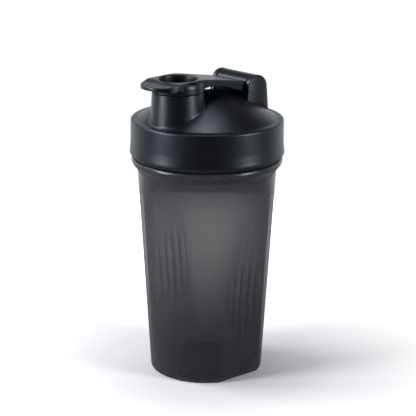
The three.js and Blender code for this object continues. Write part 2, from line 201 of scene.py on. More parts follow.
def newMaterial(name):
    material = bpy.data.materials.new(name)
    material.use_nodes = True
    tree = material.node_tree
    shader = tree.nodes["Principled BSDF"]
    coords = tree.nodes.new("ShaderNodeTexCoord")
    return material, tree, shader, coords.outputs["Object"]


def noiseNode(tree, coords, scale, detail=2.0, stretch=None):
    if stretch:
        mapping = tree.nodes.new("ShaderNodeMapping")
        mapping.inputs["Scale"].default_value = stretch
        tree.links.new(coords, mapping.inputs["Vector"])
        coords = mapping.outputs["Vector"]
    noise = tree.nodes.new("ShaderNodeTexNoise")
    noise.inputs["Scale"].default_value = scale
    noise.inputs["Detail"].default_value = detail
    tree.links.new(coords, noise.inputs["Vector"])
    return noise.outputs["Fac"]


def rangeNode(tree, value, low, high, fromLow=0.3, fromHigh=0.7):
    node = tree.nodes.new("ShaderNodeMapRange")
    node.inputs["From Min"].default_value = fromLow
    node.inputs["From Max"].default_value = fromHigh
    node.inputs["To Min"].default_value = low
    node.inputs["To Max"].default_value = high
    tree.links.new(value, node.inputs["Value"])
    return node.outputs["Result"]


def bumpNode(tree, height, strength, distance, below=None):
    bump = tree.nodes.new("ShaderNodeBump")
    bump.inputs["Strength"].default_value = strength
    bump.inputs["Distance"].default_value = distance
    tree.links.new(height, bump.inputs["Height"])
    if below:
        tree.links.new(below, bump.inputs["Normal"])
    return bump.outputs["Normal"]


blackMoulding = {
    "colour": (0.0035, 0.0040, 0.0055),
    "roughness": (0.33, 0.40),   # least and most, over soft patches
    "patch": 55.0,               # patches across a metre
    "patchDetail": 4.0,
    "grain": 2600.0,             # spark-eroded grain across a metre
    "grainDepth": 0.000006,
    "grainStrength": 0.5,
    "wave": 42.0,                # slow waviness where the wall shrank in the mould
    "waveDepth": 0.00008,
    "waveStrength": 0.35,
    "specular": 0.5,
    "tint": (0.84, 0.91, 1.0),   # cool sheen of the reflections
}
gridColour = (0.012, 0.0125, 0.014)


# satin black polypropylene: soft patches of roughness, a fine eroded grain and a slow waviness
def blackPlastic(name, sizes, colour=None):
    material, tree, shader, coords = newMaterial(name)
    shader.inputs["Base Color"].default_value = (*(colour or sizes["colour"]), 1)
    shader.inputs["Specular IOR Level"].default_value = sizes["specular"]
    shader.inputs["Specular Tint"].default_value = (*sizes["tint"], 1)
    patches = noiseNode(tree, coords, sizes["patch"], sizes["patchDetail"])
    tree.links.new(rangeNode(tree, patches, *sizes["roughness"]), shader.inputs["Roughness"])
    swell = noiseNode(tree, coords, sizes["wave"], 1.0)
    wave = bumpNode(tree, swell, sizes["waveStrength"], sizes["waveDepth"])
    pits = noiseNode(tree, coords, sizes["grain"], 1.0)
    grain = bumpNode(tree, pits, sizes["grainStrength"], sizes["grainDepth"], wave)
    tree.links.new(grain, shader.inputs["Normal"])
    return material


smokeCup = {
    "colour": (0.030, 0.031, 0.037),
    "roughness": (0.24, 0.30),
    # height in metres and the share of the light that a surface stops there, seen face on: painted shade,
    # darker towards the bottom and at the bead and lightest at mid-height, where light falls through the cup
    "paintedShadeCover": ((0.0, 0.74), (0.025, 0.615), (0.05, 0.51), (0.075, 0.465), (0.095, 0.46), (0.112, 0.51),
              (0.128, 0.555), (0.138, 0.80)),
    "crease": 0.34,              # painted shade: how much more it stops along the valleys beside the ribs, darkening them
    "grazing": 0.42,             # how much more it stops where it is seen at a slant, through more plastic
    "slantBlend": 0.32,
    "ior": 1.49,
    "patch": 40.0,
    "patchDetail": 3.0,
    "grain": 1800.0,
    "grainDepth": 0.000006,
    "grainStrength": 0.4,
    "flow": 16.0,                # faint streaks where the melt flowed up the wall
    "flowStretch": (4, 4, 0.4),
    "flowDepth": 0.00006,
    "flowStrength": 0.3,
}


# smoke polypropylene: each surface hides a share of what lies behind it, set by its slant, with painted shade
# set by its height and painted shade in the valleys beside the ribs, with a satin sheen and faint upright
# flow streaks
def smokePlastic(name, sizes):
    material, tree, shader, coords = newMaterial(name)
    shader.inputs["Base Color"].default_value = (*sizes["colour"], 1)
    shader.inputs["IOR"].default_value = sizes["ior"]
    patches = noiseNode(tree, coords, sizes["patch"], sizes["patchDetail"])
    tree.links.new(rangeNode(tree, patches, *sizes["roughness"]), shader.inputs["Roughness"])
    place = tree.nodes.new("ShaderNodeSeparateXYZ")
    tree.links.new(coords, place.inputs["Vector"])
    # painted shade by height: the cup is made darker towards the bottom and at the bead, lightest at
    # mid-height
    top = sizes["paintedShadeCover"][-1][0]
    ramp = tree.nodes.new("ShaderNodeValToRGB")
    ramp.color_ramp.interpolation = "B_SPLINE"
    tree.links.new(rangeNode(tree, place.outputs["Z"], 0, 1, 0, top), ramp.inputs["Fac"])
    stops = ramp.color_ramp.elements
    for height, share in sizes["paintedShadeCover"][1:-1]:
        stops.new(height / top)
    for stop, (height, share) in zip(stops, sizes["paintedShadeCover"]):
        stop.color = (share, share, share, 1)
    slant = tree.nodes.new("ShaderNodeLayerWeight")
    slant.inputs["Blend"].default_value = sizes["slantBlend"]
    paintedShadeCover = tree.nodes.new("ShaderNodeMath")
    paintedShadeCover.operation = "MULTIPLY_ADD"
    tree.links.new(slant.outputs["Facing"], paintedShadeCover.inputs[0])
    paintedShadeCover.inputs[1].default_value = sizes["grazing"]
    tree.links.new(ramp.outputs["Color"], paintedShadeCover.inputs[2])
    # painted shade: the stored mask darkens the valleys beside the ribs
    crease = tree.nodes.new("ShaderNodeAttribute")
    crease.attribute_name = "crease"
    withCreaseShade = tree.nodes.new("ShaderNodeMath")
    withCreaseShade.operation = "MULTIPLY_ADD"
    withCreaseShade.use_clamp = True
    tree.links.new(crease.outputs["Fac"], withCreaseShade.inputs[0])
    withCreaseShade.inputs[1].default_value = sizes["crease"]
    tree.links.new(paintedShadeCover.outputs["Value"], withCreaseShade.inputs[2])
    tree.links.new(withCreaseShade.outputs["Value"], shader.inputs["Alpha"])
    streaks = noiseNode(tree, coords, sizes["flow"], stretch=sizes["flowStretch"])
    flow = bumpNode(tree, streaks, sizes["flowStrength"], sizes["flowDepth"])
    pits = noiseNode(tree, coords, sizes["grain"], 1.0)
    grain = bumpNode(tree, pits, sizes["grainStrength"], sizes["grainDepth"], flow)
    tree.links.new(grain, shader.inputs["Normal"])
    return material


siliconeRing = {
    "colour": (0.62, 0.63, 0.64),
    "roughness": (0.42, 0.55),
    "transmission": 0.25,
    "ior": 1.41,
    "patch": 90.0,
    "patchDetail": 4.0,
    "grain": 900.0,
    "grainDepth": 0.00004,
    "grainStrength": 0.3,
}


# milky silicone rubber, a little translucent and slightly dusty
def silicone(name, sizes):
    material, tree, shader, coords = newMaterial(name)
    shader.inputs["Base Color"].default_value = (*sizes["colour"], 1)
    shader.inputs["Transmission Weight"].default_value = sizes["transmission"]
    shader.inputs["IOR"].default_value = sizes["ior"]
    dust = noiseNode(tree, coords, sizes["patch"], sizes["patchDetail"])
    tree.links.new(rangeNode(tree, dust, *sizes["roughness"]), shader.inputs["Roughness"])
    pits = noiseNode(tree, coords, sizes["grain"])
    grain = bumpNode(tree, pits, sizes["grainStrength"], sizes["grainDepth"])
    tree.links.new(grain, shader.inputs["Normal"])
    return material


cupSizes = {
    "footRadius": 36.6,
    "radius": 45.0,              # outside, where the wall meets the bead
    "wall": 2.0,
    "footRounding": 2.2,
    "recess": 1.2,               # depth and radius of the hollow under the floor
    "recessRadius": 30.2,
    "floor": 3.4,
    "floorFillet": 9.0,
    "beadHeight": 8.0,
    "neckHeight": 19.4,
    "neckRadius": 44.6,
    "beadBelly": (3.3, 4.2),     # how far out from the wall, and up from the bead's foot
    "beadCrest": (4.1, 6.4),
    "beadShoulder": 3.5,
    "denseHalf": 28,             # degrees each side of a grip's middle that get the fine columns
    "denseCols": 108,
    "wideCols": 54,
    "turn": -4.5,                # degrees from the lid's centre line to the grips'
}
gripSizes = {
    "depth": 3.8,                # how far the face cuts in at the foot
    "lean": 0.04,
    "belowBead": 16.8,
    "edge": 0.9,                 # softness of the line where face and wall meet
    "ribs": ((24.5, 4.9), (30.0, 7.4), (39.5, 22.4)),  # foot, and top below the face's, middle rib first
    "pitch": 5.8,
    "halfWidth": 2.6,
    "height": 1.15,
    "creaseWidth": 0.45,
    "roundFoot": 0.2,            # share of a rib's length over which its foot widens
    "taper": 0.55,               # and over which its top narrows
    "taperPower": 0.8,
}
threadSizes = {
    "pitch": 5.0,
    "turns": 1.25,
    "base": 2.4,
    "crest": 1.0,
    "height": 1.7,               # on the cup
    "lidHeight": 2.0,            # in the lid
    "start": 4.8,
    "fade": 0.06,                # share of a turn over which each end runs out
    "play": 0.35,
}

beadTop = rimTop - cupSizes["neckHeight"]
beadFoot = beadTop - cupSizes["beadHeight"]
gripTop = beadFoot - gripSizes["belowBead"]


# the plain wall's radius, a straight line over height
def wallRadius(z):
    return cupSizes["footRadius"] + (cupSizes["radius"] - cupSizes["footRadius"]) / beadFoot * z


# the grip face's distance from the axis: a parabola from the foot to where it reaches the wall
def gripDistance(z):
    foot = wallRadius(0) - gripSizes["depth"]
    bend = wallRadius(gripTop) - foot - gripSizes["lean"] * gripTop
    return foot + gripSizes["lean"] * z + bend * (z / gripTop) ** 2


# height of the ribs over the face, and how near a point is to the valley along a rib's side, a mask for
# painted shade there: each rib is half an ellipse across, and its width falls to a point at the top and more
# roundly at the foot
def ribHeight(across, z):
    total = np.zeros(np.broadcast(across, z).shape)
    crease = total.copy()
    most = len(gripSizes["ribs"]) - 1
    for i in range(-most, most + 1):
        foot, below = gripSizes["ribs"][abs(i)]
        top = gripTop - below
        t = np.clip((z - foot) / (top - foot), 0, 1)
        narrowing = np.clip((1 - t) / gripSizes["taper"], 0, 1) ** gripSizes["taperPower"]
        taper = np.sqrt(np.clip(t / gripSizes["roundFoot"], 0, 1)) * narrowing
        half = gripSizes["halfWidth"] * np.maximum(taper, 1e-3)
        offset = (across - i * gripSizes["pitch"]) / half
        total += gripSizes["height"] * np.sqrt(taper) * np.sqrt(np.clip(1 - offset ** 2, 0, 1))
        line = np.exp(-((np.abs(offset) - 1) * half / gripSizes["creaseWidth"]) ** 2)
        crease = np.maximum(crease, line * np.sqrt(taper) * (t < 1) * (t > 0))
    return total, crease


# radius over the plain wall's, as a share, and the mask for painted shade in the valleys beside the ribs: the
# radius is the least of the wall's and the two grip faces', which run straight across at each height
def gripShare(angle, z, inset, ribs):
    wall = wallRadius(z) - inset
    radius = wall + 0 * angle
    creases = np.zeros(radius.shape)
    for side in (0, math.pi):
        off = angle - math.radians(cupSizes["turn"]) - side
        lean = np.maximum(np.cos(off), 0.05)
        distance = gripDistance(z) - inset
        if ribs:
            height, crease = ribHeight(distance * np.sin(off) / lean, z)
            distance = distance + height
            creases = np.maximum(creases, crease * (np.cos(off) > 0.5))
        radius = softMin(radius, distance / lean, gripSizes["edge"])
    return radius / wall, creases


# a thread ridge's height at (angle, z): an eased trapezoid about a centre line that climbs a pitch a turn
def threadRidge(angle, z, startZ, height):
    t = threadSizes
    total = np.zeros(np.broadcast(angle, z).shape)
    for k in (0, 1):
        along = np.mod(angle, 2 * math.pi) / (2 * math.pi) + k
        off = np.abs(z - startZ - t["pitch"] * along)
        flank = np.clip((t["base"] / 2 - off) / (t["base"] / 2 - t["crest"] / 2), 0, 1)
        fade = ease(along / t["fade"]) * ease((t["turns"] - along) / t["fade"])
        total = np.maximum(total, height * ease(flank) * fade)
    return total


# one profile from the foot's centre up the outside, over the rim and down the inside, carried round the
# axis with its radius drawn in at the grips and pushed out along the thread
def makeCup(material):
    s = cupSizes
    turn = math.radians(s["turn"])
    dense = math.radians(s["denseHalf"])
    side = [np.linspace(-dense, dense, s["denseCols"], endpoint=False),
            np.linspace(dense, math.pi - dense, s["wideCols"], endpoint=False)]
    angles = np.concatenate([part + half + turn for half in (0, math.pi) for part in side])
    outside = softened([
        (0, s["recess"], 0, 6),
        (s["recessRadius"] - 1.2, s["recess"], 0.9, 1),
        (s["recessRadius"], 0, 0.7, 2),
        (s["footRadius"], 0, s["footRounding"], 1.25),
        (s["radius"], beadFoot + 0.2, 3.0, 1),
        (s["radius"] + s["beadBelly"][0], beadFoot + s["beadBelly"][1], 3.0, 1),
        (s["radius"] + s["beadCrest"][0], beadFoot + s["beadCrest"][1], 1.4, 1),
        (s["radius"] + s["beadShoulder"], beadTop, 0.9, 1),
        (s["neckRadius"], beadTop, 0.5, 0.45),
        (s["neckRadius"], rimTop, 0.8, 1),
        (s["neckRadius"] - s["wall"] / 2, rimTop),
    ])
    bore = s["neckRadius"] - s["wall"]
    innerFoot = wallRadius(s["floor"]) - s["wall"]
    inside = softened([
        (s["neckRadius"] - s["wall"] / 2, rimTop, 0, 1),
        (bore, rimTop, 0.6, 4),
        (bore, beadFoot, 8, 4),
        (innerFoot, s["floor"], s["floorFillet"], 6),
        (0, s["floor"]),
    ], arcSteps=7)[1:]
    radius, z = outside[:, :1], outside[:, 1:]
    share, creases = gripShare(angles, np.minimum(z, beadFoot), 0, True)
    outRadius = radius * np.where(z < beadFoot, share, 1)
    ridge = threadRidge(angles - turn, z, beadTop + threadSizes["start"], threadSizes["height"])
    outRadius = outRadius + np.where((z > beadTop) & (radius > bore + 1.9), ridge, 0)
    radiusIn, zIn = inside[:, :1], inside[:, 1:]
    shareIn, none = gripShare(angles, np.minimum(zIn, beadFoot), s["wall"], False)
    inRadius = radiusIn * np.where(zIn < beadFoot, shareIn, 1)
    reach = np.concatenate([outRadius, inRadius])
    height = np.concatenate([z, zIn]) + 0 * angles
    points = np.stack([reach * np.cos(angles), reach * np.sin(angles), height], -1)
    piece = makePiece("cup_shell", [skin(points)], material)
    # painted shade: nearness to the valleys beside the ribs, stored on the points for the material to darken
    depth = np.concatenate([creases, none])[1:-1].ravel()
    attribute = piece.data.attributes.new("crease", "FLOAT", "POINT")
    attribute.data.foreach_set("value", np.concatenate([depth, [0, 0]]).astype(np.float32))
    return piece


lidSizes = {
    "collarHeight": 24.4,
    "chamfer": 1.2,
    "collarBore": 47.1,
    "shoulderWidth": 7.4,
    "shoulderRise": 1.4,
    "domeHeight": 16.4,
    "domePower": 1.72,
    "wall": 2.3,
    "skirtOuter": 42.25,
    "skirtInner": 40.25,
    "skirtDepth": 10.0,
    "pocketTop": 2.5,            # how far the seal's pocket lies under the shoulder
    "columns": 288,
    "roundingStart": 3.2,        # how far inside the collar the shoulder's rounding starts
    "shoulderSlope": 0.02,
    "shoulderSoft": 0.7,         # softness of the crease between dome and shoulder
    "saddlePlay": 0.6,
    "saddleWall": 2.0,           # plastic left under the trough
    "saddleSoft": 0.5,
    "underSoft": 0.6,
    "saddleOutside": 60,         # the trough's height outside itself, well over the lid
    "threadRow": 0.5,            # height between rows on the threaded wall
    "snapGroove": (1.6, 2.2, 3.0, 3.6),   # heights of the grid's groove over the skirt's foot
    "snapDepth": 0.9,
    "marks": (5.6, 9.4, 13.2, 17.0),   # heights of the faint rings on the collar
    "markWidth": 0.9,
    "sink": 0.035,               # depth of the faint marks that the thread leaves on the collar
}
spoutSizes = {
    "bore": 13.4,
    "land": 14.8,                # radius of the narrow land under the cap's skirt
    "landHeight": 4.6,
    "radius": 16.5,
    "flare": 0.062,              # how much wider it gets for each millimetre down
    "y": -26.4,
    "underTop": 3.5,             # the rim lies this far under the cap's top
    "fillet": 0.9,
    "headStart": 0.7,            # under the rim, where the bore's rows end and the head's begin
    "wallStart": 0.9,            # and under the step, where the outer wall's begin
}
hingeSizes = {
    "knuckleRadius": 8.8,
    "knuckleHalf": 13.5,
    "postInner": 13.85,
    "postOuter": 18.15,
    "postRadius": 8.9,
    "postDraft": 0.1,
    "crown": 0.95,               # how far the posts' outer faces swell
    "trunnion": 2.6,
    "trunnionReach": 16.4,
    "sunk": 1.0,                 # how far the posts reach into the dome's foot
    "topPoints": 40,             # points of a post's outline along its top, each side and its foot
    "sidePoints": 14,
    "footPoints": 8,
    # how far in the outline is drawn at each depth from a post's inner face, then at each depth from the
    # edge of its outer one
    "innerEdge": ((0, 0.3), (0.03, 0.15), (0.12, 0.05), (0.3, 0)),
    "outerEdge": ((-0.8, 0), (-0.5, 0.03), (-0.2, 0.2), (-0.04, 0.5), (0.02, 0.9)),
}
shoulderZ = collarFoot + lidSizes["collarHeight"]
collarRadius = lidHigh[0]
domeFoot = collarRadius - lidSizes["shoulderWidth"]
domeFootZ = shoulderZ + lidSizes["shoulderRise"]
spoutRim = capTop - spoutSizes["underTop"]
spoutStep = spoutRim - spoutSizes["landHeight"]


# the lid's top over radius: a dome falling as a power of the radius, meeting the shoulder in a soft crease
def lidHeight(r):
    dome = domeFootZ + lidSizes["domeHeight"] * (1 - (r / domeFoot) ** lidSizes["domePower"])
    return softMax(dome, shoulderZ - lidSizes["shoulderSlope"] * (r - domeFoot), lidSizes["shoulderSoft"])


# the trough that the knuckle turns in, as a height over (x, y), very high outside it
def saddleHeight(x, y, extra):
    reach = hingeSizes["knuckleRadius"] + lidSizes["saddlePlay"] + extra
    half = hingeSizes["postInner"] + extra
    depth = hingeZ - np.sqrt(np.clip(reach ** 2 - (y - hingeY) ** 2, 0, None))
    away = np.maximum(np.abs(x) - half, np.abs(y - hingeY) - reach)
    return depth + lidSizes["saddleOutside"] * np.clip(away, 0, 1)


# one loop of rows: up the spout's bore, over its rim, down to the dome, out over the shoulder, down the
# collar, up inside past the thread and the plug skirt, and back under the dome to the bore
def makeLid(material):
    s, sp = lidSizes, spoutSizes
    angles = np.linspace(0, 2 * math.pi, s["columns"], endpoint=False)
    centre = np.array([0, sp["y"]])
    spokes = np.stack([np.cos(angles), np.sin(angles)], -1)
    edge = collarRadius - s["roundingStart"]
    toEdge = edge * spokes - centre
    toward = toEdge / np.linalg.norm(toEdge, axis=1, keepdims=True)

    def spoutRows(r, z):                             # rings about the spout's axis
        r, z = np.broadcast_arrays(np.reshape(r, (-1, 1)), z)
        return np.dstack([centre + r[..., None] * toward, z + 0 * angles])

    def lidRows(profile):                            # rings about the lid's axis
        return turned(profile, angles)

    rows = []
    inRim = s["skirtInner"] - 0.1

    def innerHeight(x, y):
        r = np.hypot(x, y)
        return softMin(lidHeight(r) - s["wall"], saddleHeight(x, y, s["saddleWall"]), s["underSoft"])

    boreAt = centre + sp["bore"] * toward
    boreFoot = innerHeight(boreAt[:, 0], boreAt[:, 1])
    t = np.linspace(0.02, 1, 12)[:, None]
    rows.append(spoutRows(np.full(12, sp["bore"]), boreFoot + (spoutRim - sp["headStart"] - boreFoot) * t))
    head = softened([
        (sp["bore"], spoutRim - sp["headStart"], 0, 1), (sp["bore"], spoutRim, 0.45, 1),
        (sp["land"], spoutRim, 0.5, 1),
        (sp["land"], spoutStep, 0.3, 1.2), (sp["radius"], spoutStep, 0.5, 1),
        (sp["radius"] + 0.05, spoutStep - sp["wallStart"]),
    ])[1:]
    rows.append(spoutRows(head[:, 0], head[:, 1:]))
    # outer wall of the spout, down to where its fillet starts
    footAt = centre + (sp["radius"] + sp["flare"] * (spoutStep - domeFootZ)) * toward
    wallFoot = lidHeight(np.hypot(*footAt.T)) + sp["fillet"]
    t = np.linspace(0.06, 1, 16)[:, None]
    z = spoutStep - sp["wallStart"] + (wallFoot - spoutStep + sp["wallStart"]) * t
    r = sp["radius"] + sp["flare"] * (spoutStep - z)
    rows.append(np.dstack([centre + r[..., None] * toward, z]))
    # quarter round between spout and dome
    for a in np.radians([15, 32, 50, 68, 90]):
        out = r[-1] + sp["fillet"] * (1 - math.cos(a))
        at = centre + out[:, None] * toward
        over = sp["fillet"] * (1 - math.sin(a))
        rows.append(np.column_stack([at, lidHeight(np.hypot(*at.T)) + over])[None])
    # dome and shoulder, along straight lines from the fillet to the shoulder's edge
    start = at
    t = np.linspace(0, 1, 93)[1:, None, None]
    flat = start + (edge * spokes - start) * t
    x, y = flat[..., 0], flat[..., 1]
    top = softMin(lidHeight(np.hypot(x, y)), saddleHeight(x, y, 0), s["saddleSoft"])
    rows.append(np.dstack([flat, top]))
    # collar, its foot, the threaded wall, the seal's pocket and the plug skirt
    pocket = shoulderZ - s["pocketTop"]
    skirtFoot = pocket - s["skirtDepth"]
    snap = s["snapGroove"]
    outside = softened([
        (edge, float(lidHeight(edge)), 0, 1),
        (collarRadius - 0.65, shoulderZ - 0.1, 2.3, 2),
        (collarRadius - 0.5, collarFoot + 9, 60, 1.2),
        (collarRadius, collarFoot + 3.0, 2, 1),
        (collarRadius, collarFoot + 2.1, 0.6, 1),
        (collarRadius - s["chamfer"], collarFoot, 0.45, 1),
        (s["collarBore"] + 0.5, collarFoot, 0.3, 1),
        (s["collarBore"], collarFoot + 0.8),
    ])[1:]
    over = outside[:, 1] - collarFoot
    marks = sum(np.exp(-((over - h) / s["markWidth"]) ** 2) for h in s["marks"])
    outside[:, 0] -= s["sink"] * marks
    rows.append(lidRows(outside))
    zs = np.arange(collarFoot + 1.2, pocket - 0.4, s["threadRow"])[:, None]
    th = threadSizes
    offset = (3 * th["base"] + 5 * th["crest"]) / 8 + th["play"]
    ridge = threadRidge(angles, zs, beadTop + th["start"] - offset, th["lidHeight"])
    reach = s["collarBore"] - ridge
    rows.append(np.dstack([reach * np.cos(angles), reach * np.sin(angles), zs + 0 * angles]))
    rows.append(lidRows(softened([
        (s["collarBore"], pocket - 0.3, 0, 1), (s["collarBore"], pocket, 0.25, 2),
        (s["skirtOuter"], pocket, 0.25, 2),
        (s["skirtOuter"], skirtFoot + 0.7, 0.4, 1), (s["skirtOuter"] - 0.7, skirtFoot, 0.3, 1),
        (s["skirtInner"], skirtFoot, 0.4, 1), (s["skirtInner"], skirtFoot + snap[0], 0.2, 1),
        (s["skirtInner"] + s["snapDepth"], skirtFoot + snap[1], 0.2, 1),
        (s["skirtInner"] + s["snapDepth"], skirtFoot + snap[2], 0.2, 1),
        (s["skirtInner"], skirtFoot + snap[3], 0.2, 2), (s["skirtInner"], pocket),
    ], arcSteps=3)[1:]))
    # under the dome, back to the bore
    t = np.linspace(0, 1, 34)[:-1, None, None]
    flat = inRim * spokes + (boreAt - inRim * spokes) * t
    rows.append(np.dstack([flat, innerHeight(flat[..., 0], flat[..., 1])]))
    skins = [skin(np.concatenate(rows), loop=True)]
    skins += [makePost(side) for side in (1, -1)]
    return makePiece("lid_shell", skins, material)


# a hinge post: its outline in y and z, a round top over drafted sides, grown by offset;
# rings of it are set at steps across x, with a bevel round the swollen outer face
def makePost(side):
    h = hingeSizes
    foot = domeFootZ - h["sunk"]
    sides, bottom = h["sidePoints"], h["footPoints"]
    top = np.linspace(0, math.pi, h["topPoints"])
    down = np.linspace(0.08, 1, sides)
    flare = h["postDraft"] * (hingeZ - foot)
    spread = flare / h["postRadius"]
    outlineY = np.concatenate([np.cos(top), -1 - down * spread, np.linspace(-0.8, 0.8, bottom) * (1 + spread),
                               1 + down[::-1] * spread])
    outlineZ = np.concatenate([np.sin(top) * h["postRadius"], down * (foot - hingeZ),
                               np.full(bottom, foot - hingeZ), down[::-1] * (foot - hingeZ)])
    normal = np.stack([np.concatenate([np.cos(top), -np.ones(sides), np.zeros(bottom), np.ones(sides)]),
                       np.concatenate([np.sin(top), np.zeros(sides), -np.ones(bottom), np.zeros(sides)])], -1)
    outline = np.stack([outlineY * h["postRadius"], outlineZ], -1)
    middle = np.array([0, (foot - hingeZ) / 3])
    thick = h["postOuter"] - h["postInner"]
    edge = thick - h["crown"]
    steps = [*h["innerEdge"], (thick * 0.4, 0), *((edge + depth, inset) for depth, inset in h["outerEdge"])]
    rings = [(depth, outline - normal * inset) for depth, inset in steps]
    inner = outline - normal * 0.3
    first = [(0.0, middle + (inner - middle) * t) for t in (0, 0.5, 0.9)]
    outer = outline - normal * 1.0
    face = []
    for t in (0.98, 0.93, 0.85, 0.75, 0.6, 0.45, 0.3, 0.15, 0.0):
        face.append((edge + 0.04 + (h["crown"] - 0.06) * (1 - t * t), middle + (outer - middle) * t))
    layers = []
    for depth, ring in first + rings + face:
        x = side * (h["postInner"] + depth)
        layers.append(np.column_stack([np.full(len(ring), x), ring[:, 0] + hingeY, ring[:, 1] + hingeZ]))
    return skin(np.array(layers))


capSizes = {
    "halfWidth": 14.45,
    "tabPower": 2.15,            # the tab's front is a superellipse of this power
    "hole": 12.0,
    "holeEdge": 0.9,
    "skirtRadius": 17.0,
    "skirtWall": 1.6,
    "skirtFoot": 7.75,           # under the top
    "roof": 3.0,                 # thickness over the spout
    "bladeFoot": 5.6,            # underside of the plate's sides, under the top
    "tabDrop": 1.2,
    "tabSlope": 0.4,
    "tabThickness": 1.4,
    "flange": 1.5,               # thickness of the lip that turns down round the tab
    "lip": 2.3,                  # its height at the front
    "flangeHeight": 4.1,         # and along the sides
    "waist": 1.4,
    "kneeSoft": 2.2,             # length over which the top bends down to the arm
    "armSlope": 0.184,
    "armStart": 10.8,            # behind the spout's axis, where the arm starts to fall
    "armEnd": 2.5,               # in front of the hinge line
    "armCorner": 3.0,
    "armPlay": 0.15,             # between the arm's sides and the posts
    "footEnd": (6.0, 2.6),       # where the underside ends: ahead of the hinge line, and under it
    "footPower": 1.45,
    "tabStart": 0.62,            # where the tab starts, ahead of the spout's axis, in skirt radiuses
    "tabBlend": 0.8,
    "lipRun": 8.5,               # length over which the lip grows from its front to its sides
    "plugDepth": 14.4,
    "plugRadius": 13.1,
    "edge": 0.55,
}


# half-outline of the blade from the tab's front to the arm's end, as points spaced evenly along it
def bladeOutline(count):
    s = capSizes
    w = s["halfWidth"]
    a = np.linspace(0, math.pi / 2, 60)
    power = 2 / s["tabPower"]
    tab = np.stack([w * np.sin(a) ** power, tabFront + w - w * np.cos(a) ** power], -1)
    armFront = spoutSizes["y"] + 0.65 * s["skirtRadius"]
    armEnd = hingeY - s["armEnd"]
    t = np.linspace(0, 1, 60)
    y = armFront + (armEnd - armFront) * t
    end = hingeSizes["knuckleHalf"] - s["armPlay"]
    x = w + (end - w) * t - s["waist"] * 4 * t * (1 - t)
    corner = s["armCorner"]
    turnIn = np.radians(np.linspace(0, 90, 12))
    tip = np.stack([end - corner + corner * np.cos(turnIn), armEnd + corner * np.sin(turnIn)], -1)
    half = np.concatenate([tab, np.stack([x, y], -1), tip, [[0, armEnd + corner]]])
    along = np.concatenate([[0], np.cumsum(np.linalg.norm(np.diff(half, axis=0), axis=1))])
    even = np.linspace(0, along[-1], count)
    return np.stack([np.interp(even, along, half[:, i]) for i in (0, 1)], -1)


# top of the blade over y: flat over the spout, falling in an S to the tab and in a soft knee to the arm
def bladeTop(y):
    s = capSizes
    front = spoutSizes["y"] - 0.68 * s["skirtRadius"] - y
    tab = s["tabDrop"] * ease(front / 6.4) + s["tabSlope"] * np.clip((front - 6.4) / 8.4, 0, 1)
    knee = (y - spoutSizes["y"] - s["armStart"]) / s["kneeSoft"]
    return capTop - tab - s["armSlope"] * s["kneeSoft"] * np.logaddexp(0, knee)


# underside of the blade: level, then falling faster and faster to the knuckle
def bladeFoot(y):
    s = capSizes
    start = spoutSizes["y"] + s["skirtRadius"]
    end = hingeY - s["footEnd"][0]
    t = np.clip((y - start) / (end - start), 0, 1.1)
    level = capTop - s["bladeFoot"]
    return level + (hingeZ - s["footEnd"][1] - level) * t ** s["footPower"]


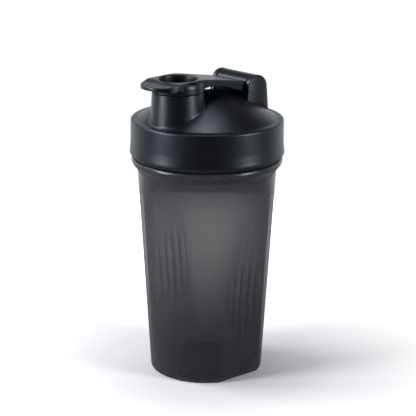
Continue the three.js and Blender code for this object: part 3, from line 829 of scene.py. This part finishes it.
# rings round the blade's outline: from the hole out over the top, round the edge, down the side, and back
# under to the hole
def makeBlade():
    s = capSizes
    half = bladeOutline(130)
    outline = np.concatenate([half, half[-2:0:-1] * [-1, 1]])
    ahead = np.roll(outline, -1, 0) - np.roll(outline, 1, 0)
    inward = np.stack([-ahead[:, 1], ahead[:, 0]], -1) / np.linalg.norm(ahead, axis=1, keepdims=True)
    centre = np.array([0, spoutSizes["y"]])
    toward = outline - centre
    toward = toward / np.linalg.norm(toward, axis=1, keepdims=True)
    top = bladeTop(outline[:, 1])
    tabStart = spoutSizes["y"] - s["tabStart"] * s["skirtRadius"]
    isTab = ease((tabStart - outline[:, 1]) / s["tabBlend"])
    tabFoot = top - s["tabThickness"]
    lip = s["lip"] + (s["flangeHeight"] - s["lip"]) * ease((outline[:, 1] - tabFront) / s["lipRun"])
    foot = bladeFoot(outline[:, 1]) * (1 - isTab) + (top - lip) * isTab
    rows = []

    def ring(plan, z):
        rows.append(np.column_stack([plan, z + 0 * plan[:, 0]]))

    def inset(distance):
        return outline + inward * distance

    # the hole's wall is the plug's; its rounded edge is the blade's
    for a in np.radians([0, 25, 50, 75, 90]):
        reach = s["hole"] + s["holeEdge"] * (1 - math.cos(a))
        ring(centre + reach * toward, capTop - s["holeEdge"] * (1 - math.sin(a)))
    holeRing = centre + (s["hole"] + s["holeEdge"]) * toward
    near = inset(1.6)
    for t in np.linspace(0, 1, 30)[1:]:
        plan = holeRing + (near - holeRing) * t
        ring(plan, bladeTop(plan[:, 1]))
    for distance in (1.1, 0.8):
        ring(inset(distance), bladeTop(inset(distance)[:, 1]))
    for a in np.radians([0, 22, 45, 68, 90]):
        ring(inset(s["edge"] * (1 - math.sin(a))), top - s["edge"] * (1 - math.cos(a)))
    small = 0.35
    for t in (0.15, 0.5, 0.85):
        ring(outline, top - s["edge"] + (foot + small - top + s["edge"]) * t)
    for a in np.radians([0, 30, 60, 90]):
        ring(inset(small * (1 - math.cos(a))), foot + small * (1 - math.sin(a)))
    ring(inset(s["flange"] - 0.3), foot)
    ring(inset(s["flange"] - 0.08), foot + 0.1 * isTab)
    ceiling = np.where(isTab > 0.5, tabFoot, foot)
    ring(inset(s["flange"]), foot + (ceiling - foot) * 0.2)
    ring(inset(s["flange"] + 0.12), foot + (ceiling - foot) * 0.95)
    ring(inset(s["flange"] + 0.4), ceiling)
    under = inset(s["flange"] + 0.8)
    hidden = centre + (s["hole"] + 0.6) * toward
    for t in np.linspace(0, 1, 16):
        plan = under + (hidden - under) * t
        front = ease((tabStart - plan[:, 1]) / s["tabBlend"])
        z = (bladeTop(plan[:, 1]) - s["tabThickness"]) * front + bladeFoot(plan[:, 1]) * (1 - front)
        ring(plan, np.where(isTab > 0.5, z, bladeFoot(plan[:, 1])))
    ring(centre + (s["hole"] + 0.3) * toward, capTop - s["bladeFoot"] + 0.2)
    ring(centre + s["hole"] * toward, capTop - s["bladeFoot"] + 0.6)
    ring(centre + s["hole"] * toward, capTop - 2.2)
    return skin(np.array(rows), loop=True)


# skirt, roof and hollow plug, one profile turned about the spout's axis
def makePlug():
    s = capSizes
    foot = capTop - s["plugDepth"]
    rim = capTop - spoutSizes["underTop"]
    r, inner = s["skirtRadius"], s["skirtRadius"] - s["skirtWall"]
    hole = s["hole"] - 0.02
    profile = softened([
        (0, foot + 1.2, 0, 4), (hole - 1.9, foot + 1.2, 1.2, 2), (hole - 0.6, foot + 6, 3, 3),
        (hole, capTop - 1.4, 0, 1), (hole + 1.0, capTop - 1.2, 0.2, 1), (13.4, capTop - 0.12, 0.3, 1),
        (14.7, capTop - 0.28, 0.8, 0.6), (16.2, capTop - 1.5, 1.6, 0.6), (r, capTop - 3.6, 2.0, 1),
        (r, capTop - s["skirtFoot"], 0.45, 1),
        (inner, capTop - s["skirtFoot"], 0.4, 1), (inner, capTop - s["roof"], 0.5, 1),
        (s["plugRadius"], capTop - s["roof"], 0.3, 1), (s["plugRadius"], rim - 0.6, 1, 2),
        (s["plugRadius"] - 0.8, rim - 7, 2, 2), (s["plugRadius"] - 1.5, foot, 0.8, 4), (0, foot),
    ])
    angles = np.linspace(0, 2 * math.pi, 144, endpoint=False)
    return skin(turned(profile, angles, (0, spoutSizes["y"])))


# knuckle and its two trunnions, a profile of (radius, x) turned about the hinge line
def makeKnuckle():
    h = hingeSizes
    end, reach = h["knuckleHalf"], h["trunnionReach"]
    profile = softened([
        (0, -reach, 0, 1), (h["trunnion"], -reach, 0.4, 1), (h["trunnion"], -end, 0.2, 1),
        (h["knuckleRadius"], -end, 0.7, 3), (h["knuckleRadius"], end, 0.7, 1), (h["trunnion"], end, 0.2, 1),
        (h["trunnion"], reach, 0.4, 1), (0, reach),
    ])
    angles = np.linspace(0, 2 * math.pi, 112, endpoint=False)
    r, x = profile[:, :1], profile[:, 1:]
    return skin(np.stack([x + 0 * angles, hingeY + r * np.cos(angles), hingeZ + r * np.sin(angles)], -1))


ringSizes = {"edge": 0.5, "groove": 0.35, "grooveHalf": 0.8, "play": 0.35}


# a square ring with rounded edges and a shallow wave on the face that meets the rim
def makeRing(material):
    outer = ringHigh[0]
    inner = lidSizes["skirtOuter"] + ringSizes["play"]
    e, mid = ringSizes["edge"], (outer + inner) / 2
    side = ringSizes["grooveHalf"]
    profile = softened([
        (inner, ringLow[2], e, 1), (mid - side, ringLow[2], 0.4, 1),
        (mid, ringLow[2] + ringSizes["groove"], 0.4, 1), (mid + side, ringLow[2], 0.4, 1),
        (outer, ringLow[2], e, 1), (outer, ringHigh[2], e, 1),
        (inner, ringHigh[2], e, 1),
    ], closed=True)
    angles = np.linspace(0, 2 * math.pi, 192, endpoint=False)
    return makePiece("sealing_ring", [skin(turned(profile, angles), loop=True)], material)


lidBlack = blackPlastic("lid_black", blackMoulding)
capBlack = blackPlastic("cap_black", blackMoulding)
gridBlack = blackPlastic("grid_black", blackMoulding, gridColour)
smoke = smokePlastic("smoke_cup", smokeCup)

cup = makeCup(smoke)
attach(cup, "cup")
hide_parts("cup")

lid = makeLid(lidBlack)
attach(lid, "lid")
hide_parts("lid")

flipCap = makePiece("snap_cap", [makeBlade(), makePlug(), makeKnuckle()], capBlack)
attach(flipCap, "flip_cap")
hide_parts("flip_cap")

ring = makeRing(silicone("milky_silicone", siliconeRing))
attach(ring, "lid_insert")
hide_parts("seal_ring")

grid = frame["nodes"]["mixing_grid"]
grid.data.materials.clear()
grid.data.materials.append(gridBlack)
print("pieces are in place")


studio = {
    "azimuth": 44.7,             # of the camera, from the spout's side
    "pitch": 16.35,
    "roll": 0.31,
    "distance": 1.1,
    "height": 0.4313,
    "lens": 151.7,
    "shift": 0.00298,
    "floorRings": (0.0, 0.05, 0.12, 0.25, 0.42),
    "floorColour": (0.955, 0.925, 0.895),
    "frontLight": 0.03,          # surroundings in front of the bottle
    "backLight": 1.0,            # and behind it, up to the height of the backdrop
    "backLift": 0.15,
    "backRange": (0.05, 0.6),    # how squarely behind it is before the light starts, and is full
    "dropRange": (0.25, 0.62),   # height of the sky where it starts to fade, and is gone
    "floorShade": 0.30,          # how pale the table looks to the bottle
    "fadeOut": (0.07, 0.34),     # from here to there the table fades into the backdrop
    "aim": 0.11,                 # height on the bottle that the lamps look at
    "coolWhite": (0.90, 0.94, 1.0),
    # name, azimuth from the camera's, elevation, distance, size, power
    "lamps": (
        ("left_panel", -68, 14, 0.95, (0.28, 0.50), 9.0),
        ("right_panel", 63, 14, 0.95, (0.26, 0.50), 6.5),
        ("key_panel", -102, 42, 1.1, (0.5, 0.5), 6.0),
        ("top_panel", 180, 84, 1.3, (0.4, 0.4), 4.0),
    ),
}


def makeCamera():
    s = studio
    data = bpy.data.cameras.new("camera")
    data.lens = s["lens"]
    data.shift_x = s["shift"]
    data.clip_end = 50
    camera = bpy.data.objects.new("camera", data)
    turn = math.radians(s["azimuth"])
    place = Matrix.Translation((s["distance"] * math.sin(turn), -s["distance"] * math.cos(turn), s["height"]))
    tilt = Matrix.Rotation(math.radians(90 - s["pitch"]), 4, "X")
    roll = Matrix.Rotation(math.radians(s["roll"]), 4, "Z")
    camera.matrix_world = place @ Matrix.Rotation(turn, 4, "Z") @ tilt @ roll
    bpy.context.scene.collection.objects.link(camera)
    bpy.context.scene.camera = camera


# a panel lamp at an azimuth from the camera's direction, turned to look at a height on the bottle
def makeLamp(name, fromCamera, elevation, distance, size, power):
    data = bpy.data.lights.new(name, "AREA")
    data.shape = "RECTANGLE"
    data.size, data.size_y = size
    data.energy = power
    data.color = studio["coolWhite"]
    lamp = bpy.data.objects.new(name, data)
    turn = math.radians(studio["azimuth"] + fromCamera)
    lift = math.radians(elevation)
    x = distance * math.cos(lift) * math.sin(turn)
    y = -distance * math.cos(lift) * math.cos(turn)
    place = Matrix.Translation((x, y, studio["aim"] + distance * math.sin(lift)))
    tilt = Matrix.Rotation(math.radians(90 - elevation), 4, "X")
    lamp.matrix_world = place @ Matrix.Rotation(turn, 4, "Z") @ tilt
    bpy.context.scene.collection.objects.link(lamp)


# surroundings: white to the camera, and for the bottle dim in front and bright low down behind
def makeWorld():
    world = bpy.data.worlds.new("studio")
    world.use_nodes = True
    bpy.context.scene.world = world
    tree = world.node_tree
    output = tree.nodes["World Output"]
    seen = tree.nodes["Background"]
    seen.inputs["Color"].default_value = (1, 1, 1, 1)
    seen.inputs["Strength"].default_value = 1.0
    lit = tree.nodes.new("ShaderNodeBackground")
    lit.inputs["Color"].default_value = (*studio["coolWhite"], 1)
    coords = tree.nodes.new("ShaderNodeTexCoord")
    back = tree.nodes.new("ShaderNodeVectorMath")
    back.operation = "DOT_PRODUCT"
    turn = math.radians(studio["azimuth"])
    back.inputs[1].default_value = (-math.sin(turn), math.cos(turn), studio["backLift"])
    tree.links.new(coords.outputs["Generated"], back.inputs[0])
    behind = rangeNode(tree, back.outputs["Value"], 0, studio["backLight"], *studio["backRange"])
    height = tree.nodes.new("ShaderNodeSeparateXYZ")
    tree.links.new(coords.outputs["Generated"], height.inputs["Vector"])
    low = rangeNode(tree, height.outputs["Z"], 1, 0, *studio["dropRange"])
    strength = tree.nodes.new("ShaderNodeMath")
    strength.operation = "MULTIPLY_ADD"
    tree.links.new(behind, strength.inputs[0])
    tree.links.new(low, strength.inputs[1])
    strength.inputs[2].default_value = studio["frontLight"]
    tree.links.new(strength.outputs["Value"], lit.inputs["Strength"])
    path = tree.nodes.new("ShaderNodeLightPath")
    mix = tree.nodes.new("ShaderNodeMixShader")
    tree.links.new(path.outputs["Is Camera Ray"], mix.inputs["Fac"])
    tree.links.new(lit.outputs["Background"], mix.inputs[1])
    tree.links.new(seen.outputs["Background"], mix.inputs[2])
    tree.links.new(mix.outputs["Shader"], output.inputs["Surface"])


# a round pale table top, a flat disc of rings
def makeFloor():
    reach = np.array(studio["floorRings"]) / mm
    angles = np.linspace(0, 2 * math.pi, 96, endpoint=False)
    rings = np.stack([reach, np.zeros_like(reach)], -1)
    points = turned(rings, angles)
    rows, cols = points.shape[:2]
    row, here = np.arange(1, rows - 1)[:, None], np.arange(cols)
    beside = (here + 1) % cols
    quads = np.stack(np.broadcast_arrays(
        row * cols + here, (row + 1) * cols + here, (row + 1) * cols + beside, row * cols + beside), -1)
    fan = np.stack([np.zeros(cols, int), cols + here, cols + beside], -1)
    mesh = bpy.data.meshes.new("floor")
    mesh.from_pydata(points.reshape(-1, 3) * mm, [], quads.reshape(-1, 4).tolist() + fan.tolist())
    floor = bpy.data.objects.new("floor", mesh)
    bpy.context.scene.collection.objects.link(floor)
    material, tree, shader, coords = newMaterial("pale_floor")
    shader.inputs["Roughness"].default_value = 0.9
    shader.inputs["Specular IOR Level"].default_value = 0.1
    path = tree.nodes.new("ShaderNodeLightPath")
    shade = tree.nodes.new("ShaderNodeMix")
    shade.data_type = "RGBA"
    tree.links.new(path.outputs["Is Camera Ray"], shade.inputs["Factor"])
    shade.inputs["A"].default_value = (*[studio["floorShade"]] * 3, 1)
    shade.inputs["B"].default_value = (*studio["floorColour"], 1)
    tree.links.new(shade.outputs["Result"], shader.inputs["Base Color"])
    reach = tree.nodes.new("ShaderNodeVectorMath")
    reach.operation = "LENGTH"
    tree.links.new(coords, reach.inputs[0])
    glow = rangeNode(tree, reach.outputs["Value"], 0, 1, *studio["fadeOut"])
    seen = tree.nodes.new("ShaderNodeMath")
    seen.operation = "MULTIPLY"
    tree.links.new(glow, seen.inputs[0])
    tree.links.new(path.outputs["Is Camera Ray"], seen.inputs[1])
    shader.inputs["Emission Color"].default_value = (1, 1, 1, 1)
    tree.links.new(seen.outputs["Value"], shader.inputs["Emission Strength"])
    mesh.materials.append(material)


makeCamera()
makeWorld()
makeFloor()
for lamp in studio["lamps"]:
    makeLamp(*lamp)
bpy.context.scene.view_settings.view_transform = "Standard"
print("studio is lit")
